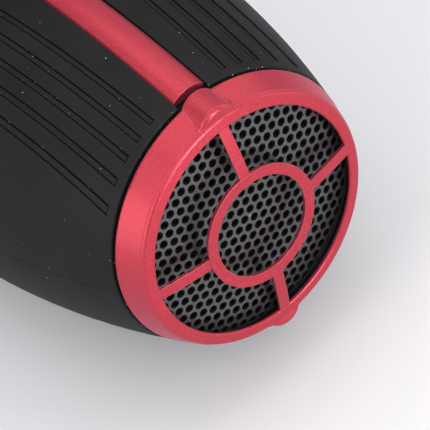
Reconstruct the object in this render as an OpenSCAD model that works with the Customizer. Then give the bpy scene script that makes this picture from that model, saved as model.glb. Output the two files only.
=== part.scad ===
// Hand-carried car dryer blower: a turned barrel in two shells, a pull-off intake
// grille with its screen and foam, a through-flow motor and fan, a carrying handle
// with the controls, and a push-on nozzle.
// X runs along the barrel from the intake to the nozzle, Z is up, and the origin
// lies on the ground under the middle. Along the barrel, s counts forward from the
// face of the intake grille.

/* [Intake grille] */
// Diameter of the intake opening
intake_d = 82; // [76:0.5:84]
// Diameter of the grille's rounded shoulder
shoulder_d = 92.2; // [90:0.2:96]
// Diameter of the grille's back edge
grille_back_d = 98.2; // [96:0.2:118]
// Length of the grille's band
grille_len = 10.5; // [10:0.1:14]
// Width of a spoke
spoke_w = 4.1; // [2.5:0.1:6]
// Thickness of the spokes and the hub ring
spoke_t = 1.8; // [1.6:0.1:3.2]
// Outer diameter of the hub ring
hub_ring_d = 44.6; // [30:0.2:54]
// Width of the hub ring's bar
hub_bar_w = 3.9; // [3:0.1:7]
// How far the grille's bars bulge out behind the opening's edge
hub_rise = 5.4; // [3:0.1:7]
// Radius of the rounded boss at the top and bottom of the band
boss_r = 7.5; // [6:0.1:9]
// Height of the top boss's crown over the shoulder
boss_rise = 3.6; // [2:0.1:5]
// Height of the bottom boss's crown over the shoulder
low_boss_rise = 2.7; // [2:0.1:5]
// Radius of the hollow between a boss and the band
boss_cove = 2.2; // [1:0.1:3]

/* [Screen and filter] */
// Diameter of a hole in the screen
hole_d = 3.1; // [2:0.05:3.2]
// Distance between holes
hole_pitch = 4.05; // [3.8:0.05:8]
// Turn of the hole rows from the horizontal
hole_turn = 37.5; // [0:0.5:60]
// Shift of the hole pattern, upwards
hole_shift_up = 0.6; // [-2:0.1:2]
// Shift of the hole pattern, to the right seen from behind
hole_shift_right = -2; // [-2:0.1:2]
// Depth of the screen's crown behind the opening's edge
screen_depth = 2; // [1.5:0.1:3]
// Sheet thickness of the screen
screen_t = 0.6; // [0.5:0.1:1.2]
// How much the screen is domed
screen_dome = 2; // [1.5:0.1:3]
// Thickness of the foam filter
foam_t = 10; // [8:0.1:12]

/* [Barrel] */
// Largest diameter of the barrel
barrel_d = 133; // [130:1:162]
// Distance of the widest place from the grille's face
widest_at = 117; // [110:1:130]
// Length of the barrel's shells
barrel_len = 232; // [224:1:280]
// Diameter of the barrel's front rim
front_d = 93; // [90:1:104]
// Wall of the shells
wall = 3; // [2.4:0.1:3.6]
// Gap between the grille and the barrel's rim
rim_gap = 1.2; // [0.4:0.1:1.5]
// Height of the belly over the ground
belly_clear = 4; // [2:0.5:10]
// Number of grooves on each side
groove_n = 5; // [3:1:5]
// Distance of the first groove from the middle at the rear
groove_first = 14.2; // [13.5:0.1:16]
// Distance between grooves
groove_pitch = 6.4; // [5:0.1:7]
// Width of a groove
groove_w = 2.3; // [1.5:0.1:3.5]
// Depth of a groove's floor
groove_depth = 0.3; // [0.2:0.1:1.2]
// Width of the fine line round a groove's floor
line_w = 0.45; // [0.2:0.05:0.6]
// Depth of the fine line below the barrel's surface
line_depth = 1.2; // [0.8:0.1:1.6]
// Angle at which the grooves spread apart
groove_spread = 2.5; // [0:0.1:3]

/* [Spine strip] */
// Half width of the strip
strip_half_w = 6.6; // [5:0.1:7.4]
// Radius of the strip's rounded top
strip_r = 8.6; // [7.5:0.1:12]
// Height of the strip's crown over the barrel
strip_rise = 1.5; // [0.8:0.1:2]
// Gap between the strip and the grille's boss
strip_gap = 3.4; // [2:0.1:5]

/* [Handle] */
// Distance of the handle's rear foot from the grille's face
handle_rear_s = 112; // [110:1:122]
// Distance between the handle's feet
handle_span = 114; // [106:1:118]
// Tilt of the handle, nose down
handle_tilt = 5; // [0:0.5:7]
// Height of the finger gap over the barrel's crown
finger_gap = 38; // [36:1:50]
// Width of the handle
grip_w = 30; // [29:0.5:34]
// Height of the handle's section
grip_t = 25; // [24:0.5:30]
// Radius of the handle's bends, at its middle line
bend_r = 24; // [20:1:28]
// Wall of the handle's halves
grip_wall = 2.6; // [2:0.1:3]
// Diameter of the speed knob
knob_d = 20; // [16:0.5:22]

/* [Motor and fan] */
// Rubber all round the fan case, between it and the shells
mount_rubber = 4; // [3:0.5:6]
// Length of the fan case
case_len = 40; // [38:1:48]
// Diameter of the motor's shaft
shaft_d = 8; // [7:0.1:9]
// Radial clearance of the shaft in its bearings
bearing_fit = 0.03; // [0.02:0.01:0.08]
// Number of fan vanes
vane_n = 7; // [5:1:9]
// Length of the iron core
core_len = 30; // [26:1:34]
// Diameter of the armature
armature_d = 36; // [32:0.5:38]
// Air gap between the armature and the field
air_gap = 0.6; // [0.4:0.1:1]

/* [Outlet and nozzle] */
// Diameter of the outlet spigot
spigot_d = 50; // [44:1:54]
// Length of the spigot in front of the front ring
spigot_len = 24; // [20:1:30]
// Length of the nozzle
nozzle_len = 80; // [70:1:100]
// Diameter of the air jet at the nozzle's mouth
jet_d = 32; // [26:1:38]
// Wall of the nozzle and outlet
duct_wall = 2.4; // [2:0.1:3]
// Clearance of pieces that push together
push_fit = 0.3; // [0.25:0.05:0.4]

/* [Cord inlet and feet] */
// Diameter of the supply cord
cord_d = 8; // [6:0.5:9]
// Diameter of a rubber foot
foot_d = 18; // [14:1:22]
// Diameter of the foot's stem that is pressed through the shell
stem_d = 6; // [4:0.5:8]
// Distance of the feet from the middle
foot_side = 20; // [18:1:24]

/* [Hidden] */

$fn = 96;
arc_fn = 720;
seat = 0.1;
big = 500;

black = [0.13, 0.13, 0.14];
soft_black = [0.17, 0.17, 0.175];
red = [0.78, 0.16, 0.22];
rubber = [0.07, 0.07, 0.07];
steel = [0.62, 0.63, 0.65];
alu = [0.75, 0.76, 0.78];
copper = [0.72, 0.4, 0.2];

// Places along the barrel
rim_s = grille_len + rim_gap;
front_s = rim_s + barrel_len;
spigot_s = front_s + 14;
tip_over = 4;
mouth_s = spigot_s + nozzle_len + tip_over;
hub_s = 0.9 - hub_rise;
x0 = -(hub_s + mouth_s) / 2;
barrel_r = barrel_d / 2;
axis_z = belly_clear + barrel_r;

// Barrel profile: one arc from the rear rim to the widest place and one to the front
rim_r = grille_back_d / 2 + 0.5;
front_r = front_d / 2;
rear_rho = arc_rho(widest_at - rim_s, barrel_r - rim_r);
front_rho = arc_rho(front_s - widest_at, barrel_r - front_r);

// Radius of an arc that drops by "drop" over the length "run" from its crown
function arc_rho(run, drop) = (run * run + drop * drop) / (2 * drop);

// Outer radius of the barrel at s
function barrel_at(s) = let (rho = s < widest_at ? rear_rho : front_rho)
    barrel_r - rho + sqrt(rho * rho - pow(s - widest_at, 2));

// Local z runs forward, local x is up, local y is to the right seen from behind
module on_axis(s = 0) {
    translate([x0 + s, 0, axis_z])
        rotate([0, 90, 0])
            rotate([0, 0, 180])
                children();
}

// Turns [radius, s] outlines about the barrel's axis
module turned() {
    on_axis() rotate_extrude() children();
}

// Two circles joined by a block whose sides all but touch both
module link2d(a, ra, b, rb) {
    slip = 0.02;
    d = norm(b - a);
    u = (b - a) / d;
    k = (ra - rb) / d;
    q = sqrt(1 - k * k);
    n1 = [k * u[0] - q * u[1], k * u[1] + q * u[0]];
    n2 = [k * u[0] + q * u[1], k * u[1] - q * u[0]];
    translate(a) circle(ra, $fn = 64);
    translate(b) circle(rb, $fn = 64);
    polygon([
        a + (ra - slip) * n1, b + (rb - slip) * n1,
        b + (rb - slip) * n2, a + (ra - slip) * n2
    ]);
}

// Ring with a rectangular section, as an outline to turn
module ring2d(r0, r1, s0, s1) {
    translate([r0, s0]) square([r1 - r0, s1 - s0]);
}

// Rectangle from xa to xb and ya to yb with rounded corners
module round_rect(xa, xb, ya, yb, r) {
    translate([xa + r, ya]) square([xb - xa - 2 * r, yb - ya]);
    translate([xa, ya + r]) square([xb - xa, yb - ya - 2 * r]);
    for (x = [xa + r, xb - r], y = [ya + r, yb - r])
        translate([x, y]) circle(r + 0.003, $fn = 64);
}

// Outline under the barrel's profile, moved in by "inset", between s0 and s1
module barrel2d(inset, s0, s1) {
    intersection() {
        translate([0, s0]) square([big, s1 - s0]);
        union() {
            intersection() {
                translate([barrel_r - rear_rho, widest_at])
                    circle(rear_rho - inset, $fn = arc_fn);
                translate([0, widest_at - big]) square([big, big]);
            }
            intersection() {
                translate([barrel_r - front_rho, widest_at])
                    circle(front_rho - inset, $fn = arc_fn);
                translate([0, widest_at]) square([big, big]);
            }
        }
    }
}

// Layer between two insets of the barrel's profile
module layer2d(outer, inner, s0, s1) {
    difference() {
        barrel2d(outer, s0, s1);
        barrel2d(inner, s0 - 1, s1 + 1);
    }
}

// ---------------------------------------------------------------- intake grille

spoke_sag = hub_rise - 1;
spoke_rho = arc_rho(intake_d / 2, spoke_sag);
bead_r = 1.6;
lip_r = 0.7;
band_tip_r = 0.8;
shoulder_r = shoulder_d / 2;
intake_r = intake_d / 2;
band_start = [shoulder_r - 1.2, 1.6];
band_end = [grille_back_d / 2 - band_tip_r, grille_len - band_tip_r];
boss_tilt = atan((grille_back_d - shoulder_d) / 2 / grille_len * 0.62);

module grille_ring2d() {
    link2d([shoulder_r - 2, 1], bead_r, [intake_r + lip_r, -0.25], lip_r);
    ring2d(seat_r, basket_r + 0.7, 2, seat_s);
    link2d(band_start, 1.2, band_end, band_tip_r);
}

// Bar section of a spoke or the hub ring: its sides lean in towards the face that shows
module bar2d(w) {
    lean = 0.5;
    polygon([[0, -w / 2], [-spoke_t, lean - w / 2], [-spoke_t, w / 2 - lean], [0, w / 2]]);
}

// Outline of the hollow that joins a boss to the band, on one side of the boss. In the
// outline, the boss's middle is the origin and x points outwards.
module cove2d(rise) {
    band = shoulder_r + tan(boss_tilt) * 1.6 - (shoulder_r + rise - boss_r) - 0.7;
    x = band + boss_cove;
    reach = boss_r + boss_cove;
    y = sqrt(reach * reach - x * x);
    difference() {
        polygon([[1, 1], [x * boss_r / reach, y * boss_r / reach], [band, y], [1, y]]);
        translate([x, y]) circle(boss_cove + 0.1, $fn = 64);
    }
}

// One rounded boss that stands over the band, along local x
module grille_boss(rise) {
    lip = 1.8;
    difference() {
        intersection() {
            translate([shoulder_r + rise - boss_r, 0, 0])
                rotate([0, boss_tilt, 0]) {
                    translate([0, 0, 0.3])
                        rotate_extrude() {
                            square([boss_r - lip, 16]);
                            translate([0, lip]) square([boss_r, 16 - lip]);
                            translate([boss_r - lip, lip]) circle(lip + 0.003, $fn = 64);
                        }
                    translate([0, 0, 1.4]) linear_extrude(height = 14) cove2d(rise);
                    translate([0, 0, 1.4]) linear_extrude(height = 14) mirror([0, 1]) cove2d(rise);
                }
            translate([intake_r + 1.5, -boss_r - 5, -5])
                cube([30, 2 * boss_r + 10, 5 + grille_len - 0.15]);
        }
        translate([0, 0, seat_s - seat]) cylinder(r = basket_r + 0.04, h = 20);
    }
}

module rear_grille() {
    color(red) {
        turned() grille_ring2d();
        on_axis() {
            grille_boss(boss_rise);
            rotate([0, 0, 180]) grille_boss(low_boss_rise);
        }
        // hub ring
        turned()
            translate([hub_ring_d / 2 - hub_bar_w / 2, hub_s])
                rotate(-90) bar2d(hub_bar_w);
        // four spokes, bent to a shallow dome between the hub ring and the bead
        on_axis()
            for (a = [0 : 90 : 270])
                rotate([0, 0, a]) spoke();
    }
}

// A spoke lies in the local x-z plane and bends about a far centre in front
module spoke() {
    a0 = asin((hub_ring_d / 2 - hub_bar_w + 1) / spoke_rho);
    a1 = asin((intake_r + 2) / spoke_rho);
    translate([0, 0, spoke_rho - hub_rise])
        rotate([90, 0, 0])
            rotate([0, 0, -90 + a0])
                rotate_extrude(angle = a1 - a0, $fn = arc_fn)
                    translate([spoke_rho, 0]) bar2d(spoke_w);
}

// ---------------------------------------------------------------- screen, filter

basket_r = shoulder_r - 1.6;
basket_t = 1.3;
seat_r = basket_r - 0.9;
screen_r = basket_r - 0.2;
screen_rho = arc_rho(intake_r, screen_dome);
seat_s = screen_at(seat_r) - seat;
ledge_s = screen_at(screen_r) + screen_t + seat;
foam_s = ledge_s + 1.2;
retainer_s = foam_s + foam_t;
basket_end_s = retainer_s + 1.6;

// Place of the screen's outer face at a distance r from the axis
function screen_at(r) = screen_depth + screen_rho - sqrt(screen_rho * screen_rho - r * r);

module dome2d(depth, r) {
    intersection() {
        difference() {
            translate([0, depth + screen_rho]) circle(screen_rho, $fn = arc_fn);
            translate([0, depth + screen_rho + screen_t]) circle(screen_rho, $fn = arc_fn);
        }
        square([r, 30]);
    }
}

// A round cut from perforated sheet, so the holes near its rim are cut through too
module mesh_screen() {
    rows = ceil(screen_r / hole_pitch) + 2;
    row_step = hole_pitch * sqrt(3) / 2;
    turn = 90 - hole_turn;
    color([0.42, 0.42, 0.44])
        difference() {
            turned() dome2d(screen_depth, screen_r);
            on_axis()
                linear_extrude(height = 30)
                    intersection() {
                        circle(seat_r - 0.1);
                        for (i = [-rows : rows], j = [-rows : rows]) {
                            u = (j + (i % 2) / 2) * hole_pitch;
                            v = i * row_step;
                            p = [
                                u * cos(turn) - v * sin(turn) + hole_shift_up,
                                u * sin(turn) + v * cos(turn) + hole_shift_right
                            ];
                            if (norm(p) < seat_r + 0.6)
                                translate(p) circle(d = hole_d, $fn = 16);
                        }
                    }
        }
}

module filter_basket() {
    color(rubber) turned() {
        ring2d(basket_r - basket_t, basket_r, ledge_s, basket_end_s);
        ring2d(basket_r - basket_t - 1, basket_r, ledge_s, foam_s - seat);
    }
}

module foam_filter() {
    color([0.1, 0.1, 0.1]) turned()
        ring2d(0, basket_r - basket_t - seat, foam_s, retainer_s - seat);
}

module filter_retainer() {
    color(black) {
        turned() ring2d(basket_r - basket_t - 4, basket_r - basket_t - 0.05, retainer_s, basket_end_s);
        on_axis(retainer_s)
            for (a = [0, 60, 120])
                rotate([0, 0, a])
                    translate([-basket_r + 4, -1, 0]) cube([2 * basket_r - 8, 2, 1.6]);
    }
}

// ---------------------------------------------------------------- barrel shells

channel_half_w = strip_half_w + 0.15;
channel_depth = 3.4;
seam = 0.25;
groove_end_s = front_s - 34;
screw_places = [40, 84, widest_at + 33, front_s - 38];
shell_screw_r = 1.9;
well_r = 3.9;
foot_places = [108, front_s - 46];
stem_r = stem_d / 2;

// Side distance of the screws: just inside the wall, and the rear pair further in, so
// that its wells stay out of sight under the belly
function screw_side(s) = barrel_at(s) - wall - (s < bulkhead_s ? 9 : 2.6);

module half_shell() {
    on_axis()
        rotate([0, 0, -90])
            rotate_extrude(angle = 180)
                difference() {
                    layer2d(0, wall, rim_s, front_s);
                    // light chamfer round both rims
                    translate([rim_r, rim_s]) rotate(45) square(0.45, center = true);
                    translate([front_r, front_s]) rotate(45) square(0.9, center = true);
                }
}

// Thin seam line where the shells meet
module seam_cut() {
    turned() layer2d(-1, 1.2, rim_s - 1, front_s + 1);
}

// A place at the rear outer corner of each groove, with local x along the groove and
// local y across it, away from the strip
module at_grooves() {
    for (side = [-1, 1], i = [0 : groove_n - 1])
        translate([x0 + rim_s + 2.9, side * (groove_first + i * groove_pitch), axis_z])
            rotate([0, 0, side * groove_spread])
                mirror([0, side > 0 ? 0 : 1, 0])
                    children();
}

// Slots that fan out towards the front, limited in depth by the barrel's profile: a
// shallow floor with a deeper fine line along both edges and across the rear end
module grooves() {
    rear_s = rim_s + 2.9;
    intersection() {
        turned() layer2d(-6, groove_depth, rear_s, groove_end_s);
        at_grooves() translate([-10, 0, 0]) cube([big / 2, groove_w, barrel_r + 10]);
    }
    intersection() {
        turned() layer2d(-6, line_depth, rear_s, groove_end_s);
        at_grooves()
            for (y = [0, groove_w - line_w])
                translate([-10, y, 0]) cube([big / 2, line_w, barrel_r + 10]);
    }
    intersection() {
        turned() layer2d(-6, line_depth, rear_s, rear_s + line_w);
        at_grooves() translate([-10, 0, 0]) cube([20, groove_w, barrel_r + 10]);
    }
}

// The channel that holds the red strip, cut from above
module strip_channel(s0, s1) {
    intersection() {
        turned() layer2d(-6, channel_depth, s0, s1);
        translate([x0, -channel_half_w, axis_z]) cube([big, 2 * channel_half_w, barrel_r + 10]);
    }
}

// Floor of that channel, where it is deeper than the wall
module under_channel(s0, s1) {
    intersection() {
        turned() layer2d(1.5, channel_depth + 1.1, s0, s1);
        translate([x0, -channel_half_w - 2, axis_z])
            cube([big, 2 * channel_half_w + 4, barrel_r + 10]);
    }
}

// Room for the floor in the pieces inside the barrel
module channel_room() {
    intersection() {
        turned() layer2d(0, channel_depth + 1.9, rim_s, foot_rear_s + 5);
        translate([x0, -channel_half_w - 2.3, axis_z])
            cube([big, 2 * channel_half_w + 4.6, barrel_r + 10]);
    }
}

// Screw bosses stand beside the seam, on both sides
module screw_posts(z0, z1, r) {
    for (s = screw_places, side = [-1, 1])
        translate([x0 + s, side * screw_side(s), axis_z + z0])
            cylinder(r = r, h = z1 - z0, $fn = 32);
}

module inside_barrel() {
    turned() barrel2d(wall - 0.5, rim_s, front_s);
}

module upper_shell() {
    color(soft_black)
        difference() {
            union() {
                half_shell();
                under_channel(rim_s, foot_rear_s + 4);
                intersection() {
                    screw_posts(0, barrel_r, 4);
                    inside_barrel();
                }
                board_posts();
            }
            intersection() {
                seam_cut();
                translate([x0, -big / 2, axis_z - 1]) cube([big, big, 1 + seam]);
            }
            grooves();
            strip_channel(rim_s - 1, foot_rear_s + 2);
            turned() ring2d(0, basket_r + push_fit, rim_s - 1, basket_end_s + 1);
            screw_posts(-1, 13, shell_screw_r - 0.1);
            // cable ways into the handle's feet
            for (s = [foot_rear_s, foot_front_s])
                translate([x0 + s + (s < widest_at ? half_t : -half_t), 0, axis_z])
                    cylinder(r = 4.5, h = barrel_r + 5);
            at_foot_screws() translate([0, 0, -30]) cylinder(r = 3.4, h = 30, $fn = 48);
            at_foot_screws() cylinder(r = 1.8, h = 8, $fn = 48);
        }
}

module at_feet() {
    for (s = foot_places, side = [-1, 1])
        translate([x0 + s, side * foot_side, 0]) children();
}

module lower_shell() {
    color(soft_black)
        difference() {
            union() {
                mirror([0, 0, 1]) translate([0, 0, -2 * axis_z]) half_shell();
                intersection() {
                    union() {
                        screw_posts(-barrel_r, 0, 4);
                        screw_posts(-barrel_r, -12, well_r + 1.4);
                    }
                    inside_barrel();
                }
                gland_seat();
            }
            at_feet() cylinder(r = stem_r + 0.05, h = barrel_r / 2);
            screw_posts(-1 - barrel_r, 1, shell_screw_r + 0.2);
            screw_posts(-1 - barrel_r, -14, well_r);
            gland_hole();
        }
}

module shell_screws() {
    color(steel)
        for (s = screw_places, side = [-1, 1])
            translate([x0 + s, side * screw_side(s), axis_z]) {
                translate([0, 0, -14]) cylinder(r = shell_screw_r - 0.15, h = 25, $fn = 32);
                translate([0, 0, -16.2])
                    difference() {
                        cylinder(r = 3.5, h = 2.2, $fn = 32);
                        cylinder(r = 1.6, h = 1.2, $fn = 6);
                    }
            }
}

// Each foot fits the belly, and its stem is pressed through the shell and ends in a head
module rubber_feet() {
    foot_r = foot_d / 2;
    color(rubber) {
        difference() {
            at_feet()
                rotate_extrude()
                    polygon([[0, 0], [foot_r - 1.2, 0], [foot_r, 1.2], [foot_r, 30], [0, 30]]);
            turned() barrel2d(-0.05, rim_s, front_s);
        }
        intersection() {
            at_feet() translate([0, 0, 2]) cylinder(r = stem_r, h = 30);
            turned() layer2d(-2, wall + 1, rim_s, front_s);
        }
        intersection() {
            at_feet() cylinder(r = stem_r + 1.6, h = 40);
            turned() layer2d(wall + 0.05, wall + 3, rim_s, front_s);
        }
    }
}

// ---------------------------------------------------------------- red spine strip

// Section of the strip: rounded top, flat bottom, x outwards from the surface
module strip2d() {
    intersection() {
        translate([strip_rise - strip_r, 0]) circle(strip_r, $fn = 128);
        translate([-channel_depth + 0.2, -strip_half_w])
            square([channel_depth + strip_rise, 2 * strip_half_w]);
    }
}

// Bends the strip over one of the barrel's arcs, between two distances
module strip_on_barrel(rho, sa, sb) {
    a0 = asin((sa - widest_at) / rho);
    a1 = asin((sb - widest_at) / rho);
    translate([x0 + widest_at, 0, axis_z + barrel_r - rho])
        rotate([90, 0, 0])
            rotate([0, 0, 90 - a1])
                rotate_extrude(angle = a1 - a0, $fn = arc_fn)
                    translate([rho, 0]) strip2d();
}

module rear_strip() {
    color(red) strip_on_barrel(rear_rho, rim_s + strip_gap - rim_gap, foot_rear_s - strip_rise - 0.5);
}

// ---------------------------------------------------------------- handle

half_t = grip_t / 2;
handle_top = barrel_r + finger_gap + half_t;
post_len = finger_gap + half_t + 24;
foot_lean = sin(handle_tilt) * (finger_gap + half_t);
foot_rear_s = handle_rear_s - foot_lean - half_t;
foot_front_s = handle_rear_s + handle_span * cos(handle_tilt) - foot_lean + half_t;

// The handle's own frame: x along the bar from the rear post, z up, tilted nose down
module handle_frame() {
    translate([x0 + handle_rear_s, 0, axis_z + handle_top])
        rotate([0, handle_tilt, 0])
            children();
}

// Sweeps a section round the handle: two posts, the bar and two round bends. In the
// section, x points outwards and y across.
module sweep_handle() {
    handle_frame() {
        translate([0, 0, -post_len])
            rotate([0, 0, 180]) linear_extrude(height = post_len - bend_r) children();
        translate([handle_span, 0, -post_len])
            linear_extrude(height = post_len - bend_r) children();
        translate([bend_r, 0, 0])
            rotate([0, 90, 0])
                rotate([0, 0, 180])
                    linear_extrude(height = handle_span - 2 * bend_r) children();
        translate([bend_r, 0, -bend_r])
            rotate([90, 0, 0])
                rotate([0, 0, 90])
                    rotate_extrude(angle = 90) translate([bend_r, 0]) children();
        translate([handle_span - bend_r, 0, -bend_r])
            rotate([90, 0, 0])
                rotate_extrude(angle = 90) translate([bend_r, 0]) children();
    }
}

module grip2d(inset = 0) {
    round_rect(-half_t + inset, half_t - inset, -grip_w / 2 + inset, grip_w / 2 - inset, 11 - inset);
}

// Wall section: hollow for the wires, with the strip's channel outside
module handle2d() {
    difference() {
        grip2d();
        round_rect(-half_t + grip_wall, half_t - 6, -grip_w / 2 + grip_wall, grip_w / 2 - grip_wall, 5);
        translate([half_t - channel_depth, -channel_half_w]) square([10, 2 * channel_half_w]);
    }
}

// A place on the handle's bar: local z along the bar, local x outwards
module on_bar(u) {
    handle_frame()
        translate([u, 0, 0])
            rotate([0, 90, 0])
                rotate([0, 0, 180])
                    children();
}

// A place on the handle's front post, "down" below the bar, with local z to the left
module across_front_post(down) {
    handle_frame()
        translate([handle_span, 0, -down])
            rotate([-90, 0, 0])
                children();
}

// The screws that hold the halves: in both bends and low in the rear post
screw_spots = [[7, -7], [handle_span - 7, -7], [0, 2 - finger_gap]];

module at_handle_screws() {
    for (p = screw_spots)
        handle_frame()
            translate([p[0], 0, p[1]])
                rotate([-90, 0, 0])
                    children();
}

// Height of the barrel's surface under a post, in the handle's own frame
function foot_z(u) =
    let (z = -finger_gap - half_t,
         s = handle_rear_s + u * cos(handle_tilt) + z * sin(handle_tilt))
    (barrel_at(s) - handle_top + u * sin(handle_tilt)) / cos(handle_tilt);

// Seats of the screws that hold the handle's feet, with z up along the posts
foot_screw_y = 9;

module at_foot_screws() {
    for (u = [0, handle_span], side = [-1, 1])
        handle_frame()
            translate([u, side * foot_screw_y, foot_z(u) - 2.8])
                children();
}

switch_l = 21;
switch_w = 2 * strip_half_w;
switch_u = handle_span - bend_r - switch_l / 2 - 2;
bezel_t = 1.8;
soft_t = 1.3;
grip_u0 = bend_r + 1;
grip_u1 = handle_span - bend_r - 1;
knob_down = bend_r + 8;
shaft_r = 3;

module soft_grip2d(outer, inner) {
    intersection() {
        difference() {
            grip2d(-outer);
            grip2d(inner);
        }
        translate([-big - 3, -big / 2]) square([big, big]);
    }
}

module handle_body() {
    difference() {
        union() {
            sweep_handle() handle2d();
            at_handle_screws()
                translate([0, 0, 0.5 - grip_w / 2]) cylinder(r = 4.5, h = grip_w - 1, $fn = 48);
            at_foot_screws() translate([0, 0, -4]) cylinder(r = 3.8, h = 14.8, $fn = 48);
        }
        turned() barrel2d(-seat, rim_s, front_s);
        // seat of the soft grip
        on_bar(grip_u0 - seat)
            linear_extrude(height = grip_u1 - grip_u0 + 2 * seat) soft_grip2d(2, soft_t + 0.05);
        // pocket for the switch
        on_bar(switch_u - switch_l / 2 - 0.2)
            translate([0, -switch_w / 2 - 0.2, 0])
                cube([half_t + 5, switch_w + 0.4, switch_l + 0.4]);
        // hole of the speed knob's shaft
        across_front_post(knob_down) cylinder(r = shaft_r + 0.4, h = grip_w, $fn = 48);
        at_handle_screws() {
            translate([0, 0, 6]) cylinder(r = 3.2, h = 20, $fn = 48);
            translate([0, 0, -1]) cylinder(r = 1.8, h = 10, $fn = 48);
            translate([0, 0, -9]) cylinder(r = 1.4, h = 10, $fn = 48);
        }
        at_foot_screws() cylinder(r = 1.4, h = 9.3, $fn = 48);
    }
}

module handle_left() {
    color(soft_black)
        intersection() {
            handle_body();
            translate([-big / 2, 0, 0]) cube([big, big, big]);
        }
}

module handle_right() {
    color(soft_black)
        intersection() {
            handle_body();
            translate([-big / 2, -big, 0]) cube([big, big, big]);
        }
}

module handle_screws() {
    color(steel)
        at_handle_screws()
            difference() {
                union() {
                    translate([0, 0, -8]) cylinder(r = 1.35, h = 14.05, $fn = 48);
                    translate([0, 0, 6.05]) cylinder(r = 3, h = 2.2, $fn = 48);
                }
                translate([-2, -0.4, 7.3]) cube([4, 0.8, 2]);
                translate([-0.4, -2, 7.3]) cube([0.8, 4, 2]);
            }
}

// Screws from inside the barrel up into the handle's feet
module foot_screws() {
    color(steel)
        at_foot_screws()
            difference() {
                union() {
                    translate([0, 0, -2.35]) cylinder(r = 3.1, h = 2.3, $fn = 48);
                    translate([0, 0, -0.1]) cylinder(r = 1.35, h = 9, $fn = 48);
                }
                translate([-1.8, -0.4, -3]) cube([3.6, 0.8, 1.6]);
                translate([-0.4, -1.8, -3]) cube([0.8, 3.6, 1.6]);
            }
}

module soft_grip() {
    color(rubber)
        on_bar(grip_u0)
            linear_extrude(height = grip_u1 - grip_u0) soft_grip2d(0.4, soft_t);
}

// The strip over the handle, broken by the switch
module handle_strip() {
    half_gap = switch_l / 2 + 2.4;
    color(red)
        difference() {
            sweep_handle() translate([half_t, 0]) strip2d();
            turned() barrel2d(-strip_rise - 0.6, rim_s, front_s);
            on_bar(switch_u - half_gap)
                translate([-big / 4, -big / 4, 0]) cube([big / 2, big / 2, 2 * half_gap]);
        }
}

// ---------------------------------------------------------------- controls

// The bezel fills the strip's channel and has a flange over the handle
module switch_bezel() {
    color(black)
        on_bar(switch_u - switch_l / 2 - 2)
            difference() {
                union() {
                    translate([half_t - channel_depth + seat, -switch_w / 2, 0])
                        cube([channel_depth, switch_w, switch_l + 4]);
                    translate([half_t + 0.05, 0, 0])
                        bevelled_block(bezel_t, switch_w + 3.6, switch_l + 4);
                }
                translate([0, -switch_w / 2 + 1, 3]) cube([half_t + 5, switch_w - 2, switch_l - 2]);
            }
}

// Block centred on y that stands on x = 0 and z = 0, with its upper ends bevelled
module bevelled_block(h, w, l) {
    b = 0.8;
    translate([0, w / 2, 0])
        rotate([90, 0, 0])
            linear_extrude(height = w)
                polygon([[0, 0], [h - b, 0], [h, b], [h, l - b], [h - b, l], [0, l]]);
}

pivot_x = half_t - 5.4;
pin_r = 1;

module switch_body() {
    color(rubber)
        on_bar(switch_u - switch_l / 2)
            difference() {
                translate([1 + grip_wall - half_t, -switch_w / 2, 0])
                    cube([grip_t - grip_wall - 1 - channel_depth, switch_w, switch_l]);
                translate([2, -switch_w / 2 + 1, 1]) cube([20, switch_w - 2, switch_l - 2]);
                translate([pivot_x, 0, switch_l / 2])
                    rotate([90, 0, 0])
                        cylinder(r = pin_r + 0.05, h = 20, center = true, $fn = 32);
            }
}

rocker_tilt = 8;

// The rocker stands tipped to "off", on two pins in the switch's side walls
module rocker() {
    color([0.2, 0.2, 0.21])
        on_bar(switch_u)
            translate([pivot_x, 0, 0])
                rotate([0, rocker_tilt, 0]) {
                    translate([0, switch_w / 2 - 1.3, 0])
                        rotate([90, 0, 0])
                            linear_extrude(height = switch_w - 2.6)
                                polygon([
                                    [-1.6, -3], [3.6, -8.1], [8.6, -8.1], [7.2, 0],
                                    [8.6, 8.1], [3.6, 8.1], [-1.6, 3]
                                ]);
                    rotate([90, 0, 0])
                        cylinder(r = pin_r, h = switch_w - 0.5, center = true, $fn = 32);
                }
}

module speed_pot() {
    color(rubber)
        across_front_post(knob_down)
            difference() {
                union() {
                    translate([0, 0, 1]) cylinder(r = half_t - 6.7, h = grip_w / 2 - 7);
                    translate([0, 0, 5]) cylinder(r = 4.2, h = grip_w / 2 - grip_wall - 6);
                }
                translate([0, 0, 4]) cylinder(r = shaft_r + bearing_fit, h = grip_w);
            }
}

module speed_knob() {
    knob_r = knob_d / 2;
    color(black)
        across_front_post(knob_down) {
            translate([0, 0, 5]) cylinder(r = shaft_r, h = grip_w / 2 - 2);
            translate([0, 0, grip_w / 2 + 0.5])
                difference() {
                    union() {
                        rotate_extrude()
                            polygon([[0, 0], [knob_r, 0], [knob_r, 6], [knob_r - 1, 7.5], [0, 7.5]]);
                        translate([2 - knob_r, -1.2, 7]) cube([knob_r, 2.4, 1.6]);
                    }
                    for (a = [0 : 20 : 340])
                        rotate([0, 0, a])
                            translate([knob_r + 0.6, 0, 1.5]) cylinder(r = 1.2, h = 10, $fn = 24);
                }
        }
}

// ---------------------------------------------------------------- air inlet

bulkhead_s = 46;
bulkhead_t = 3;
case_s = bulkhead_s + bulkhead_t + 3;
case_r = barrel_at(case_s) - wall - mount_rubber - 0.6;
eye_r = case_r * 0.4;
socket_r = basket_r + push_fit;
socket_outer_r = rim_r - wall - 0.3;

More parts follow.
